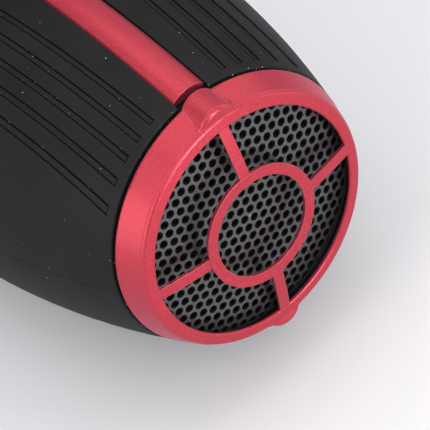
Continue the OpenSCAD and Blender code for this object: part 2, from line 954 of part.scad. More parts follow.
module inlet_duct() {
    color(black)
        difference() {
            turned()
                difference() {
                    union() {
                        ring2d(socket_r, socket_outer_r, rim_s + 0.6, basket_end_s + 5);
                        polygon([
                            [socket_r, basket_end_s + 2], [socket_outer_r, basket_end_s + 2],
                            [socket_outer_r, basket_end_s + 5], [eye_r + 9, bulkhead_s + bulkhead_t],
                            [eye_r + 4, bulkhead_s + bulkhead_t]
                        ]);
                        barrel_slab2d(bulkhead_s, bulkhead_t);
                    }
                    square([eye_r + 5, big]);
                }
            channel_room();
        }
}

// Slab across the inside of the barrel, as an outline to turn
module barrel_slab2d(s, t) {
    barrel2d(wall + seat, s, s + t);
}

module rear_motor_mount() {
    color(rubber)
        difference() {
            turned() {
                ring2d(eye_r + 5, case_r + 1, bulkhead_s + bulkhead_t + 0.02, case_s - 0.02);
                difference() {
                    barrel2d(wall + seat + 0.2, bulkhead_s + bulkhead_t + 0.02, case_s + 7);
                    square([case_r + 0.05, big]);
                }
            }
            channel_room();
        }
}

// ---------------------------------------------------------------- fan and motor

sheet = 1.2;
impeller_s = case_s + 2.6;
impeller_h = 11;
impeller_r = case_r - 4.5;
guide_s = impeller_s + impeller_h + 3;
guide_h = 9;
bracket_s = guide_s + guide_h;
case_end_s = case_s + case_len;
core_s = case_end_s + 12;
core_end_s = core_s + core_len;
core_r = armature_d / 2 + air_gap + 15;
comm_s = core_end_s + 12;
comm_len = 12;
comm_r = 11;
fbearing_s = comm_s + comm_len + 5;
bearing_w = 7;
bearing_or = shaft_d / 2 + 7;
rbearing_s = bracket_s + 2;
shaft_r0 = shaft_d / 2;
shaft_s = impeller_s - 1;
bolt_y = core_r - 5.5;

module fan_case() {
    color(alu) turned() {
        difference() {
            ring2d(eye_r, case_r, case_s, case_end_s);
            ring2d(eye_r - 1, case_r - sheet, case_s + sheet, case_end_s + 1);
        }
        // rolled lip round the eye
        translate([eye_r + 0.8, case_s + 0.8]) circle(0.8, $fn = 32);
    }
}

module impeller() {
    hub_r = shaft_r0 + 5;
    color(alu) {
        turned() {
            ring2d(eye_r - 1, impeller_r, impeller_s, impeller_s + 1);
            ring2d(shaft_r0, impeller_r, impeller_s + impeller_h - 1, impeller_s + impeller_h);
            ring2d(shaft_r0, hub_r, impeller_s + impeller_h - 4, impeller_s + impeller_h);
        }
        on_axis(impeller_s + 0.5)
            for (a = [0 : 360 / vane_n : 359])
                rotate([0, 0, a]) vane(eye_r + 1, impeller_r - 1.5, impeller_h - 1);
    }
}

// Vane bent to a round arc between two radii
module vane(r0, r1, h) {
    bend = (r0 + r1) * 0.55;
    intersection() {
        difference() {
            cylinder(r = r1, h = h);
            translate([0, 0, -1]) cylinder(r = r0, h = h + 2);
        }
        translate([0, bend * 0.95, 0])
            rotate([0, 0, -88])
                rotate_extrude(angle = 75)
                    translate([bend, 0]) square([1, h]);
    }
}

module impeller_nut() {
    color(steel)
        on_axis(impeller_s + impeller_h - 9)
            difference() {
                cylinder(r = 7, h = 4.95, $fn = 6);
                translate([0, 0, -1]) cylinder(r = shaft_r0 + 0.02, h = 8);
            }
}

module guide_plate() {
    color(alu) {
        turned() ring2d(shaft_r0 + 4, case_r - sheet - 0.2, guide_s, guide_s + 1.5);
        on_axis(guide_s + 1.4)
            for (a = [0 : 36 : 359])
                rotate([0, 0, a]) vane(16, case_r - sheet - 6, guide_h - 1.5);
    }
}

module rear_bracket() {
    color([0.66, 0.67, 0.69]) {
        difference() {
            turned() {
                ring2d(bearing_or + seat, bearing_or + 5, bracket_s, bracket_s + 10);
                ring2d(bearing_or + 4, case_r - sheet - 0.2, bracket_s, bracket_s + 3);
                ring2d(case_r - sheet - 3.2, case_r - sheet - 0.2, bracket_s, case_end_s);
            }
            for (a = [0 : 60 : 300])
                on_axis(bracket_s - 1)
                    rotate([0, 0, a + 30])
                        translate([(bearing_or + case_r) / 2 + 1, 0, 0]) cylinder(r = 9, h = 5);
        }
        // four legs that carry the field core
        on_axis(bracket_s + 1)
            for (a = [45 : 90 : 315])
                rotate([0, 0, a])
                    translate([core_r - 6, -5, 0]) cube([5.5, 10, core_s - bracket_s - 1 - 0.02]);
    }
}

module bearing(s) {
    color(steel) turned() {
        difference() {
            ring2d(shaft_r0 + bearing_fit, bearing_or, s, s + bearing_w);
            translate([(shaft_r0 + bearing_or) / 2, s]) circle(1, $fn = 32);
            translate([(shaft_r0 + bearing_or) / 2, s + bearing_w]) circle(1, $fn = 32);
        }
    }
}

module rear_bearing() {
    bearing(rbearing_s);
}

module front_bearing() {
    bearing(fbearing_s);
}

module shaft() {
    color(steel)
        on_axis(shaft_s) cylinder(r = shaft_r0, h = fbearing_s + bearing_w + 2 - shaft_s);
}

module armature() {
    slots = 12;
    color([0.45, 0.3, 0.2]) turned() {
        ring2d(shaft_r0, armature_d / 2 - 3, core_s - 8, core_s + 0.5);
        ring2d(shaft_r0, armature_d / 2 - 3, core_end_s - 0.5, core_end_s + 8);
    }
    color(steel)
        difference() {
            turned() ring2d(shaft_r0, armature_d / 2, core_s, core_end_s);
            for (a = [0 : 360 / slots : 359])
                on_axis(core_s - 1)
                    rotate([0, 0, a])
                        translate([armature_d / 2 - 2, -0.8, 0]) cube([4, 1.6, core_len + 2]);
        }
}

module commutator() {
    bars = 24;
    color(copper)
        difference() {
            turned() {
                ring2d(shaft_r0, comm_r, comm_s, comm_s + comm_len);
                ring2d(shaft_r0, comm_r + 1.6, comm_s - 3, comm_s);
            }
            for (a = [0 : 360 / bars : 359])
                on_axis(comm_s - 4)
                    rotate([0, 0, a])
                        translate([comm_r - 0.8, -0.2, 0]) cube([4, 0.4, comm_len + 5]);
        }
}

module field_core() {
    inner_r = armature_d / 2 + air_gap;
    color([0.5, 0.5, 0.52])
        on_axis(core_s)
            difference() {
                linear_extrude(height = core_len)
                    difference() {
                        intersection() {
                            circle(core_r);
                            square([2 * core_r, 1.76 * core_r], center = true);
                        }
                        circle(inner_r);
                        // windows for the two coils
                        for (side = [-1, 1], end = [-1, 1])
                            translate([side * (inner_r + 2.4), end * (inner_r * 0.62)])
                                square([9, 9], center = true);
                    }
                for (side = [-1, 1])
                    translate([side * bolt_y, 0, -1]) cylinder(r = 2.2, h = core_len + 2, $fn = 32);
            }
}

// Two coils in the core's windows, with rounded ends outside the core
module field_coils() {
    inner_r = armature_d / 2 + air_gap;
    w = inner_r * 0.62;
    out = 7;
    color(copper)
        on_axis(core_s)
            for (side = [-1, 1])
                translate([side * (inner_r + 2.2), 0, 0])
                    rotate([0, 90, 0])
                        translate([0, 0, -3.4])
                            linear_extrude(height = 6.8)
                                difference() {
                                    round_rect(-core_len - out, out, -w - 3.6, w + 3.6, 6);
                                    round_rect(-core_len - 1, 1, -w + 3.6, w - 3.6, 2);
                                }
}

module front_bracket() {
    hub_end = fbearing_s + bearing_w + 4;
    color([0.66, 0.67, 0.69]) {
        turned() {
            ring2d(bearing_or + seat, bearing_or + 3.4, fbearing_s - 1, hub_end);
            ring2d(0, bearing_or + 3.4, hub_end - 1.6, hub_end);
        }
        difference() {
            union() {
                // cross bar over the commutator, and its two feet on the core
                on_axis(fbearing_s)
                    for (a = [0, 180])
                        rotate([0, 0, a])
                            translate([bearing_or + 2, -7, 0])
                                cube([bolt_y + 5 - bearing_or - 2, 14, 4]);
                on_axis(core_end_s + 0.02)
                    for (a = [0, 180])
                        rotate([0, 0, a])
                            translate([bolt_y - 3, -7, 0])
                                cube([8, 14, fbearing_s + 4 - core_end_s - 0.02]);
            }
            bolt_holes(2.2);
        }
    }
}

module bolt_holes(r) {
    on_axis(core_s - 20)
        for (a = [0, 180])
            rotate([0, 0, a])
                translate([bolt_y, 0, 0]) cylinder(r = r, h = 150, $fn = 32);
}

module motor_bolts() {
    color(steel)
        for (a = [0, 180])
            on_axis(core_s - 6)
                rotate([0, 0, a])
                    translate([bolt_y, 0, 0]) {
                        cylinder(r = 2, h = fbearing_s + 4.2 - core_s + 6, $fn = 32);
                        translate([0, 0, fbearing_s + 4.2 - core_s + 6]) cylinder(r = 3.6, h = 3, $fn = 32);
                        translate([0, 0, 3]) cylinder(r = 3.5, h = 2.9, $fn = 6);
                    }
}

brush_w = 6;
brush_l = 8;
box_s = comm_s + comm_len / 2;
box_out = 24;

module brush_holders() {
    color([0.7, 0.55, 0.25])
        for (a = [90, 270])
            on_axis(box_s)
                rotate([0, 0, a]) {
                    difference() {
                        translate([comm_r + 2, -brush_w / 2 - 1.5, -brush_l / 2 - 1.5])
                            cube([box_out, brush_w + 3, brush_l + 3]);
                        translate([comm_r, -brush_w / 2 - seat, -brush_l / 2 - seat])
                            cube([box_out, brush_w + 2 * seat, brush_l + 2 * seat]);
                    }
                }
    // insulating carriers that screw to the front bracket
    color(black)
        for (a = [90, 270])
            on_axis(box_s)
                rotate([0, 0, a])
                    translate([bearing_or + 3.45, -10, brush_l / 2 + 1.5])
                        cube([14, 20, fbearing_s - box_s - brush_l / 2 - 1.5 + 3]);
}

module carbon_brushes() {
    color([0.16, 0.16, 0.17])
        for (a = [90, 270])
            on_axis(box_s)
                rotate([0, 0, a])
                    difference() {
                        translate([comm_r - 1, -brush_w / 2, -brush_l / 2])
                            cube([17, brush_w, brush_l]);
                        translate([0, 0, -10]) cylinder(r = comm_r + 0.08, h = 20);
                    }
}

// ---------------------------------------------------------------- front support

spider_s = fbearing_s + 4.4;
spider_t = bearing_w - 1.4;
mount_or = bearing_or + 3.4 + 5;

module front_motor_mount() {
    color(rubber) turned()
        ring2d(bearing_or + 3.45, mount_or, spider_s, spider_s + spider_t);
}

module motor_spider() {
    end_s = spider_s + spider_t;
    color(black)
        difference() {
            union() {
                turned() ring2d(mount_or + 0.05, mount_or + 3, spider_s, end_s);
                turned() layer2d(wall + seat, wall + seat + 3, spider_s, end_s);
                intersection() {
                    turned() barrel2d(wall + seat + 1, spider_s, end_s);
                    on_axis(spider_s)
                        for (a = [45 : 90 : 315])
                            rotate([0, 0, a])
                                translate([mount_or + 2, -2, 0]) cube([barrel_r, 4, spider_t]);
                }
            }
            screw_posts(-barrel_r, barrel_r, well_r + 1.7);
        }
}

// ---------------------------------------------------------------- speed control

board_s = fbearing_s + bearing_w + 8;
board_l = 26;
board_w = 44;
board_z = 40;

module board_posts() {
    intersection() {
        for (ds = [4, board_l - 4], side = [-1, 1])
            translate([x0 + board_s + ds, side * (board_w / 2 - 4), axis_z + board_z + 1.6])
                cylinder(r = 2.5, h = barrel_r, $fn = 32);
        inside_barrel();
    }
}

module speed_board() {
    color([0.1, 0.32, 0.2])
        translate([x0 + board_s, -board_w / 2, axis_z + board_z]) cube([board_l, board_w, 1.58]);
    color(black) {
        translate([x0 + board_s + 4, -18, axis_z + board_z - 8]) cube([10, 12, 8.5]);
        translate([x0 + board_s + 17, -13, axis_z + board_z - 11]) cylinder(r = 4, h = 11.5);
    }
}

module heat_sink() {
    color(alu)
        translate([x0 + board_s + 3, 2, axis_z + board_z - 12]) {
            translate([0, 0, 10.4]) cube([20, 16, 1.58]);
            for (i = [0 : 4])
                translate([0, i * 3.5, 0]) cube([20, 1.6, 11]);
        }
}

// ---------------------------------------------------------------- outlet

spigot_r = spigot_d / 2;
funnel_s = front_s - 26;
mouth_r = barrel_at(funnel_s) - wall - 5;

module outlet_duct() {
    color(black)
        difference() {
            turned() {
                difference() {
                    polygon([
                        [mouth_r - duct_wall, funnel_s], [mouth_r, funnel_s],
                        [spigot_r + 1.5, spigot_s - 4], [spigot_r, spigot_s - 2],
                        [spigot_r, spigot_s + spigot_len], [spigot_r - duct_wall, spigot_s + spigot_len],
                        [spigot_r - duct_wall, spigot_s - 4]
                    ]);
                    translate([spigot_r, spigot_s + 12]) square([2.2, 3.4], center = true);
                }
                difference() {
                    barrel_slab2d(front_s - 6, 3);
                    square([spigot_r + 6, big]);
                }
            }
            screw_posts(-barrel_r, barrel_r, well_r + 1.7);
        }
}

module spigot_seal() {
    color(rubber) turned()
        ring2d(spigot_r - 1.05, spigot_r + push_fit - 0.25, spigot_s + 12 - 1.5, spigot_s + 12 + 1.5);
}

module front_ring() {
    hole = spigot_r + 2;
    color(red) {
        turned() {
            link2d([front_r - 1.6, front_s + 1.4], 1.2, [front_r - 6, spigot_s - 3], 1.4);
            link2d([front_r - 6, spigot_s - 3], 1.4, [hole + 1, spigot_s - 1.6], 1);
        }
        turned() ring2d(hole + 2, hole + 6, spigot_s - 3.4, spigot_s - 1.6);
    }
}

socket_ir = spigot_r + push_fit;
socket_or = socket_ir + duct_wall;
nozzle_end_s = mouth_s - tip_over;
jet_r = jet_d / 2;
tip_t = 3;
tip_s = nozzle_end_s - 14;

// Outer radius of the nozzle's cone at s
function nozzle_at(s) = let (a = spigot_s + spigot_len + 2)
    socket_or + (jet_r + duct_wall - socket_or) * (s - a) / (nozzle_end_s - a);

module nozzle() {
    a = spigot_s + spigot_len + 2;
    color(black) {
        turned()
            polygon([
                [socket_ir, spigot_s], [socket_or + 0.8, spigot_s], [socket_or + 0.8, spigot_s + 5],
                [socket_or, spigot_s + 6], [socket_or, a], [jet_r + duct_wall, nozzle_end_s],
                [jet_r, nozzle_end_s], [socket_ir - 0.2, a], [socket_ir, a - 1]
            ]);
        // finger ribs round the socket
        on_axis(spigot_s + 6)
            for (a2 = [0 : 15 : 345])
                rotate([0, 0, a2])
                    translate([socket_or - 0.4, -0.9, 0]) cube([1.2, 1.8, spigot_len - 6]);
    }
}

module nozzle_tip() {
    color(rubber) turned()
        polygon([
            [nozzle_at(tip_s) + 0.1, tip_s], [nozzle_at(tip_s) + tip_t - 1, tip_s],
            [nozzle_at(tip_s) + tip_t, tip_s + 1.5], [jet_r + duct_wall + tip_t, mouth_s - 2],
            [jet_r + duct_wall + tip_t - 2, mouth_s], [jet_r + 1, mouth_s], [jet_r, mouth_s - 1],
            [jet_r, nozzle_end_s + 0.05], [jet_r + duct_wall + 0.1, nozzle_end_s + 0.05]
        ]);
}

// ---------------------------------------------------------------- cord inlet

gland_turn = 125;
gland_r = cord_d / 2 + 4;
gland_s = spider_s + spider_t + gland_r + 5.3;
gland_len = 14;

// Local z points out of the barrel's lower right side
module at_gland() {
    on_axis(gland_s)
        rotate([0, 0, gland_turn])
            translate([barrel_at(gland_s), 0, 0])
                rotate([0, 90, 0])
                    children();
}

module gland_seat() {
    difference() {
        at_gland() translate([0, 0, -8]) cylinder(r = gland_r + 3, h = 10);
        turned() barrel2d(wall, rim_s, front_s);
    }
}

// Hole for the gland, and a flat round its flange where the barrel would stand higher
module gland_hole() {
    at_gland() {
        translate([0, 0, -12]) cylinder(r = gland_r - 2 + 0.05, h = 20);
        translate([0, 0, 2]) cylinder(r = gland_r + 1.5, h = 20);
    }
}

module cord_gland() {
    color(rubber)
        at_gland()
            rotate_extrude()
                polygon([
                    [cord_d / 2 + 0.1, gland_len - 6], [gland_r - 1, gland_len - 6],
                    [gland_r + 1, 4], [gland_r + 1, 2.05], [gland_r - 2, 2.05],
                    [gland_r - 2, -6], [cord_d / 2 + 0.1, -6]
                ]);
}

rear_grille();
mesh_screen();
filter_basket();
foam_filter();
filter_retainer();
upper_shell();
lower_shell();
shell_screws();
rubber_feet();
rear_strip();
handle_strip();
front_ring();
handle_left();
handle_right();
handle_screws();
foot_screws();
soft_grip();
switch_bezel();
switch_body();
rocker();
speed_pot();
speed_knob();
inlet_duct();
rear_motor_mount();
fan_case();
guide_plate();
impeller();
impeller_nut();
shaft();
armature();
commutator();
rear_bearing();
front_bearing();
rear_bracket();
front_bracket();
motor_bolts();
field_core();
field_coils();
brush_holders();
carbon_brushes();
front_motor_mount();
motor_spider();
speed_board();
heat_sink();
outlet_duct();
spigot_seal();
nozzle();
nozzle_tip();
cord_gland();
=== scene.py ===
# %% [markdown]
# # A hand-carried car dryer blower
# This lesson dresses a finished mechanical model of a car dryer blower: a small machine that draws air
# in through a red grille at its back and blows it out of a nozzle to dry a car's paint. The shapes of
# its parts come ready-made as a fixed frame. Here we light it, place a camera and give every part the
# surface that the real one has.

import math

import bmesh
import bpy
from mathutils import Matrix, Vector, noise as mnoise


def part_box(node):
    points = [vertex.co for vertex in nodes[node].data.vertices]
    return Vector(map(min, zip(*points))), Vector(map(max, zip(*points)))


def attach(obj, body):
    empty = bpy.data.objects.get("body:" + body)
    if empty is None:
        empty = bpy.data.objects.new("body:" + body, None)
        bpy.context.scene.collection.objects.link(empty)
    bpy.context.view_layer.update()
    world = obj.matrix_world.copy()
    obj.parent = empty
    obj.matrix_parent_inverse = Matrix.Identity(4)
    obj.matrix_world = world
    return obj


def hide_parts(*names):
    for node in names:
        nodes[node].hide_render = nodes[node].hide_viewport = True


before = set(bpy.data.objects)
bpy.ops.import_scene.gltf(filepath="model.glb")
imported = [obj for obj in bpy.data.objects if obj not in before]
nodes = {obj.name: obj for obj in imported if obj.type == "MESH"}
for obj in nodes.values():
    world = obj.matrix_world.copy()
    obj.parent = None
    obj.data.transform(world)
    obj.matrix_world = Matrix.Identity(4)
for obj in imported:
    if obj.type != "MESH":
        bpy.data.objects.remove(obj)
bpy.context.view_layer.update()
print("parts in the frame:", len(nodes))

# %% [markdown]
# The blower lies along X with its intake at the back. Two places are used again and again: where the
# grille's face is, and how high the barrel's axis runs. We measure them from the parts themselves, so
# that the lesson still works if the model grows or shrinks.

# %% Measure the main places
MM = 0.001
grille_depth = 10.5 * MM
grille_front_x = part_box("rear_grille")[1][0]
screen_lo, screen_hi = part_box("mesh_screen")
axis_z = (screen_lo[2] + screen_hi[2]) / 2
face_x = grille_front_x - grille_depth
print("axis height in mm:", round(axis_z / MM, 1), " grille face at x =", round(face_x / MM, 1))

# %% [markdown]
# ## The camera
# A product close-up is taken from some way off with a long lens, which keeps the round grille free of
# distortion. The camera stands behind the blower, to its left and above it, and it is rolled a little,
# so that the barrel runs from corner to corner. We write the camera's own axes as a matrix: its right
# side, its top and its back.

# %% Place the camera
camera_right = Vector((-0.6183, -0.7434, -0.2550)).normalized()
camera_back = Vector((-0.6738, 0.3343, 0.6590)).normalized()
camera_up = camera_back.cross(camera_right).normalized()
camera_right = camera_up.cross(camera_back)
turn = Matrix((camera_right, camera_up, camera_back)).transposed().to_4x4()
behind, aside, above = 0.6188, 0.3197, 0.6179
place = Vector((face_x - behind, aside, axis_z + above))

camera_data = bpy.data.cameras.new("product_camera")
camera_data.lens = 237.4
camera_data.sensor_width = 36
camera_data.clip_end = 20
camera = bpy.data.objects.new("product_camera", camera_data)
bpy.context.collection.objects.link(camera)
camera.matrix_world = Matrix.Translation(place) @ turn
bpy.context.scene.camera = camera
print("camera distance in m:", round((place - Vector((face_x, 0, axis_z))).length, 3))

# %% [markdown]
# ## Light
# Studio light for matt and pearl surfaces comes from large soft boxes. A small one stands low behind the
# blower and looks straight into the grille: it is what throws the hub ring's shadow on the screen. The
# others stand at the left, at the right and overhead and draw the long soft gradients on the barrel. All
# of them look at the same point, just inside the intake.

# %% Place the soft boxes
lit_point = Vector((face_x + 0.04, 0, axis_z))


def soft_box(name, where, size, watts):
    data = bpy.data.lights.new(name, "AREA")
    data.shape = "SQUARE"
    data.size = size
    data.energy = watts
    lamp = bpy.data.objects.new(name, data)
    bpy.context.collection.objects.link(lamp)
    lamp.location = where
    lamp.rotation_euler = (lit_point - Vector(where)).to_track_quat("-Z", "Y").to_euler()


soft_box("axis_box", (face_x - 1.5, -0.2, axis_z + 0.18), 0.25, 12)
soft_box("left_front_box", (face_x + 0.6, 1.3, 0.4), 0.8, 1.2)
soft_box("left_low_box", (face_x - 0.1, 1.4, 0.45), 0.9, 5.2)
soft_box("left_high_box", (face_x - 0.2, 1.1, 1.2), 1.0, 2.6)
soft_box("top_box", (face_x + 0.2, 0.0, 1.7), 1.3, 4.4)
soft_box("right_low_box", (face_x - 0.6, -1.4, 0.45), 1.0, 4)
soft_box("right_high_box", (face_x + 0.1, -1.1, 1.2), 1.0, 2.4)
soft_box("back_high_box", (face_x - 1.3, 0.3, 1.2), 0.9, 5.5)

# %% [markdown]
# The walls of the studio are dimmer than its ceiling. That difference is what a satin paint shows as soft
# shading, so the world's light grows from the horizon to the zenith.

# %% The world's light
horizon, zenith = 0.26, 0.62
world = bpy.data.worlds.new("studio")
bpy.context.scene.world = world
world.use_nodes = True
sky = world.node_tree
way = sky.nodes.new("ShaderNodeTexCoord")
split = sky.nodes.new("ShaderNodeSeparateXYZ")
rise = sky.nodes.new("ShaderNodeMapRange")
rise.inputs["To Min"].default_value = horizon
rise.inputs["To Max"].default_value = zenith
sky.links.new(way.outputs["Generated"], split.inputs["Vector"])
sky.links.new(split.outputs["Z"], rise.inputs["Value"])
sky.links.new(rise.outputs["Result"], sky.nodes["Background"].inputs["Strength"])
sky.nodes["Background"].inputs["Color"].default_value = (0.94, 0.95, 1, 1)
bpy.context.scene.view_settings.view_transform = "Standard"
print("world light from", horizon, "at the horizon to", zenith, "overhead")

# %% [markdown]
# ## Building finishes
# A finish is a small network of nodes around one shader. These helpers keep the networks short. Two make
# the material and find its shader, one adds a node with its inputs set, two make links, three do sums with
# values that change over a surface, and the last gives the finish to the parts.

# %% Helpers that build a network
def new_finish(name, roughness, metallic=0.0, **sockets):
    mat = bpy.data.materials.new(name)
    mat.use_nodes = True
    shader = shader_of(mat)
    shader.inputs["Roughness"].default_value = roughness
    shader.inputs["Metallic"].default_value = metallic
    for socket, value in sockets.items():
        shader.inputs[socket.replace("_", " ")].default_value = value
    return mat


def shader_of(mat):
    return mat.node_tree.nodes["Principled BSDF"]


def add(mat, kind, **inputs):
    node = mat.node_tree.nodes.new(kind)
    for key, value in inputs.items():
        node.inputs[key.replace("_", " ")].default_value = value
    return node


def link(mat, a, b):
    mat.node_tree.links.new(a, b)


def feed(mat, socket, value):
    link(mat, value, shader_of(mat).inputs[socket])


def reckon(mat, operation, *values):
    node = add(mat, "ShaderNodeMath")
    node.operation = operation
    for socket, value in zip(node.inputs, values):
        if isinstance(value, (int, float)):
            socket.default_value = value
        else:
            link(mat, value, socket)
    return node.outputs[0]


def product(mat, first, *others):
    for other in others:
        first = reckon(mat, "MULTIPLY", first, other)
    return first


def long_side(mat, a, b):
    return reckon(mat, "SQRT", reckon(mat, "ADD", product(mat, a, a), product(mat, b, b)))


def use(mat, *names):
    for name in names:
        data = nodes[name].data
        data.materials.clear()
        data.materials.append(mat)
    print(mat.name, "->", ", ".join(names))


print("network helpers are ready")

# %% [markdown]
# A texture has to stay put on its part when the part moves, so all of them are placed in the part's own
# metres. The first helper does that, and the second gives the distances from a point in millimetres. Two
# add a noise and a cell texture, one turns grey values into another range, and two blend colours.

# %% Helpers for textures and colours
MIX_COLOUR_A, MIX_COLOUR_B, MIX_COLOUR_RESULT = 6, 7, 2


def part_place(mat, stretch=(1, 1, 1), shift=(0, 0, 0)):
    coordinate = add(mat, "ShaderNodeTexCoord")
    mapping = add(mat, "ShaderNodeMapping", Location=shift, Scale=stretch)
    link(mat, coordinate.outputs["Object"], mapping.inputs["Vector"])
    return mapping.outputs["Vector"]


def mm_from(mat, point=(0, 0, 0)):
    axes = add(mat, "ShaderNodeSeparateXYZ")
    in_mm = part_place(mat, (1000, 1000, 1000), [-1000 * value for value in point])
    link(mat, in_mm, axes.inputs["Vector"])
    return [axes.outputs[key] for key in "XYZ"]


def noise(mat, scale, detail=2.0, stretch=(1, 1, 1)):
    node = add(mat, "ShaderNodeTexNoise", Scale=scale, Detail=detail)
    link(mat, part_place(mat, stretch), node.inputs["Vector"])
    return node.outputs["Fac"]


def cells(mat, scale):
    node = add(mat, "ShaderNodeTexVoronoi", Scale=scale)
    link(mat, part_place(mat), node.inputs["Vector"])
    return node


def spread(mat, value, low, high, to_low=0.0, to_high=1.0):
    ends = {"From_Min": low, "From_Max": high, "To_Min": to_low, "To_Max": to_high}
    node = add(mat, "ShaderNodeMapRange", **ends)
    link(mat, value, node.inputs["Value"])
    return node.outputs["Result"]


def blend_colour(mat, factor, first, second):
    node = add(mat, "ShaderNodeMix")
    node.data_type = "RGBA"
    link(mat, factor, node.inputs["Factor"])
    for index, colour in ((MIX_COLOUR_A, first), (MIX_COLOUR_B, second)):
        if isinstance(colour, tuple):
            node.inputs[index].default_value = (*colour, 1)
        else:
            link(mat, colour, node.inputs[index])
    return node.outputs[MIX_COLOUR_RESULT]


def two_tone(mat, texture, dark, light):
    return blend_colour(mat, spread(mat, texture, 0.3, 0.7), dark, light)


print("texture helpers are ready")

# %% [markdown]
# A mould or a brush never leaves an edge quite sharp, and light shows that at once. One helper rounds the
# sharp edges and one tilts the surface with a grain. Two more find places: corners, where dust gathers,
# and sharp outer edges, where a rounded copy of the surface points another way than the surface itself.

# %% Helpers for edges, grain and corners
def tilt_by(mat, node):
    old = shader_of(mat).inputs["Normal"]
    if old.is_linked:
        link(mat, old.links[0].from_socket, node.inputs["Normal"])
    link(mat, node.outputs["Normal"], old)


def bump(mat, height, depth, strength):
    node = add(mat, "ShaderNodeBump", Strength=strength, Distance=depth)
    link(mat, height, node.inputs["Height"])
    tilt_by(mat, node)


def round_edges(mat, radius):
    node = add(mat, "ShaderNodeBevel", Radius=radius)
    node.samples = 6
    tilt_by(mat, node)


def corners(mat, reach):
    node = add(mat, "ShaderNodeAmbientOcclusion", Distance=reach)
    node.samples = 8
    return node.outputs["AO"]


# Marks sharp outer edges. The paints lighten these places as a painted highlight.
def sharp_places(mat, reach):
    soft = add(mat, "ShaderNodeBevel", Radius=reach)
    soft.samples = 8
    plain_way = add(mat, "ShaderNodeNewGeometry")
    alike = add(mat, "ShaderNodeVectorMath")
    alike.operation = "DOT_PRODUCT"
    link(mat, soft.outputs["Normal"], alike.inputs[0])
    link(mat, plain_way.outputs["Normal"], alike.inputs[1])
    edge = spread(mat, alike.outputs["Value"], 0.985, 0.86)
    in_the_open = spread(mat, corners(mat, 1.2 * MM), 0.62, 0.9)
    return product(mat, edge, in_the_open)


print("edge helpers are ready")

# %% [markdown]
# ## The floor
# A sheet of matt white paper, far larger than the view, so that no edge of it shows. The camera sees it a
# little whiter than it lights the blower, as if the paper were lit from behind.

# %% Lay the floor
mesh = bpy.data.meshes.new("studio_floor")
shape = bmesh.new()
bmesh.ops.create_grid(shape, x_segments=4, y_segments=4, size=6)
shape.to_mesh(mesh)
shape.free()
floor = bpy.data.objects.new("studio_floor", mesh)
bpy.context.collection.objects.link(floor)

paper = new_finish("floor_paper", 0.6)
seen = add(paper, "ShaderNodeLightPath").outputs["Is Camera Ray"]
white_that_lights, white_that_shows = (0.6, 0.6, 0.61), (0.99, 0.99, 1.0)
feed(paper, "Base Color", blend_colour(paper, seen, white_that_lights, white_that_shows))
bump(paper, noise(paper, 700), 0.1 * MM, 0.3)
mesh.materials.append(paper)
print("floor reaches from x =", floor.bound_box[0][0], "to", floor.bound_box[6][0])

# %% [markdown]
# ## Red pearl paint
# The ring, the strips and the grille are painted in a matt pearl red. Pearl flakes lie in a clear binder
# and each throws light back at its own angle, so the paint is deep red where we look straight at it in
# shade and turns a mauve pink in the light. We mix two reds with a very fine grain, tint the gloss
# towards mauve and tilt the surface with the same grain. On sharp edges a lighter red is painted in, as a
# painted highlight where light catches them.

# %% Mix the red paint
def red_pearl(name, painted_shade=None):
    mat = new_finish(name, 0.4, 0.5, Specular_IOR_Level=0.7, Coat_Weight=0.15, Coat_Roughness=0.2,
                     Sheen_Weight=0.2, Sheen_Roughness=0.45, Specular_Tint=(1, 0.62, 0.8, 1),
                     Sheen_Tint=(1, 0.5, 0.68, 1))
    deep_red, light_red = (0.47, 0.028, 0.042), (0.68, 0.052, 0.077)
    cloud_red, edge_highlight_red = (0.62, 0.045, 0.075), (0.82, 0.17, 0.22)
    flakes = noise(mat, 2400, 3)
    clouds = noise(mat, 45, 2)
    tone = blend_colour(mat, spread(mat, flakes, 0.35, 0.65), deep_red, light_red)
    tone = blend_colour(mat, spread(mat, clouds, 0.3, 0.7, 0, 0.2), tone, cloud_red)
    # A lighter red on sharp edges: a painted highlight.
    tone = blend_colour(mat, sharp_places(mat, 0.3 * MM), tone, edge_highlight_red)
    # Where a mask is given, a near-black is painted over the red there as painted shade.
    if painted_shade:
        tone = blend_colour(mat, painted_shade(mat), tone, (0.004, 0.004, 0.004))
    feed(mat, "Base Color", tone)
    feed(mat, "Roughness", spread(mat, flakes, 0.3, 0.7, 0.3, 0.44))
    round_edges(mat, 0.35 * MM)
    bump(mat, flakes, 0.03 * MM, 0.45)
    return mat


use(red_pearl("red_pearl_paint"), "rear_strip", "handle_strip", "front_ring")

# %% [markdown]
# Inside the grille, behind its lip, the ring lies in shade. There a near-black is painted over the red as
# painted shade: everywhere deeper than the lip and nearer to the axis than the ring's inner wall.

# %% Paint the grille, with painted shade behind its lip
def behind_the_lip(mat):
    lip_depth, wall_radius = 1.0, 44.6
    x, y, z = mm_from(mat, (face_x, 0, axis_z))
    deep = reckon(mat, "GREATER_THAN", x, lip_depth)
    inside = reckon(mat, "LESS_THAN", long_side(mat, y, z), wall_radius)
    return product(mat, deep, inside)


use(red_pearl("red_pearl_with_painted_shade", behind_the_lip), "rear_grille")

# %% [markdown]
# ## Soft black shell
# The barrel is moulded with a fine even grain and a soft-touch coat: nearly black and quite matt. Its
# sharp edges are painted a little lighter, as a painted highlight. Crumbs of dust stick to the coat. They
# are tiny and sparse, and most lie in the grooves, so we sprinkle them with a cell texture and let more
# of them through in corners.

# %% Mix the shell's plastic
def dust(mat, nook):
    crumbs = cells(mat, 620)
    luck = add(mat, "ShaderNodeSeparateColor")
    link(mat, crumbs.outputs["Color"], luck.inputs["Color"])
    chosen = reckon(mat, "GREATER_THAN", luck.outputs["Red"], spread(mat, nook, 0, 1, 0.93, 0.15))
    dot = spread(mat, crumbs.outputs["Distance"], 0.08, 0.13, 1, 0)
    return product(mat, dot, chosen, spread(mat, luck.outputs["Green"], 0, 1, 0.1, 1))


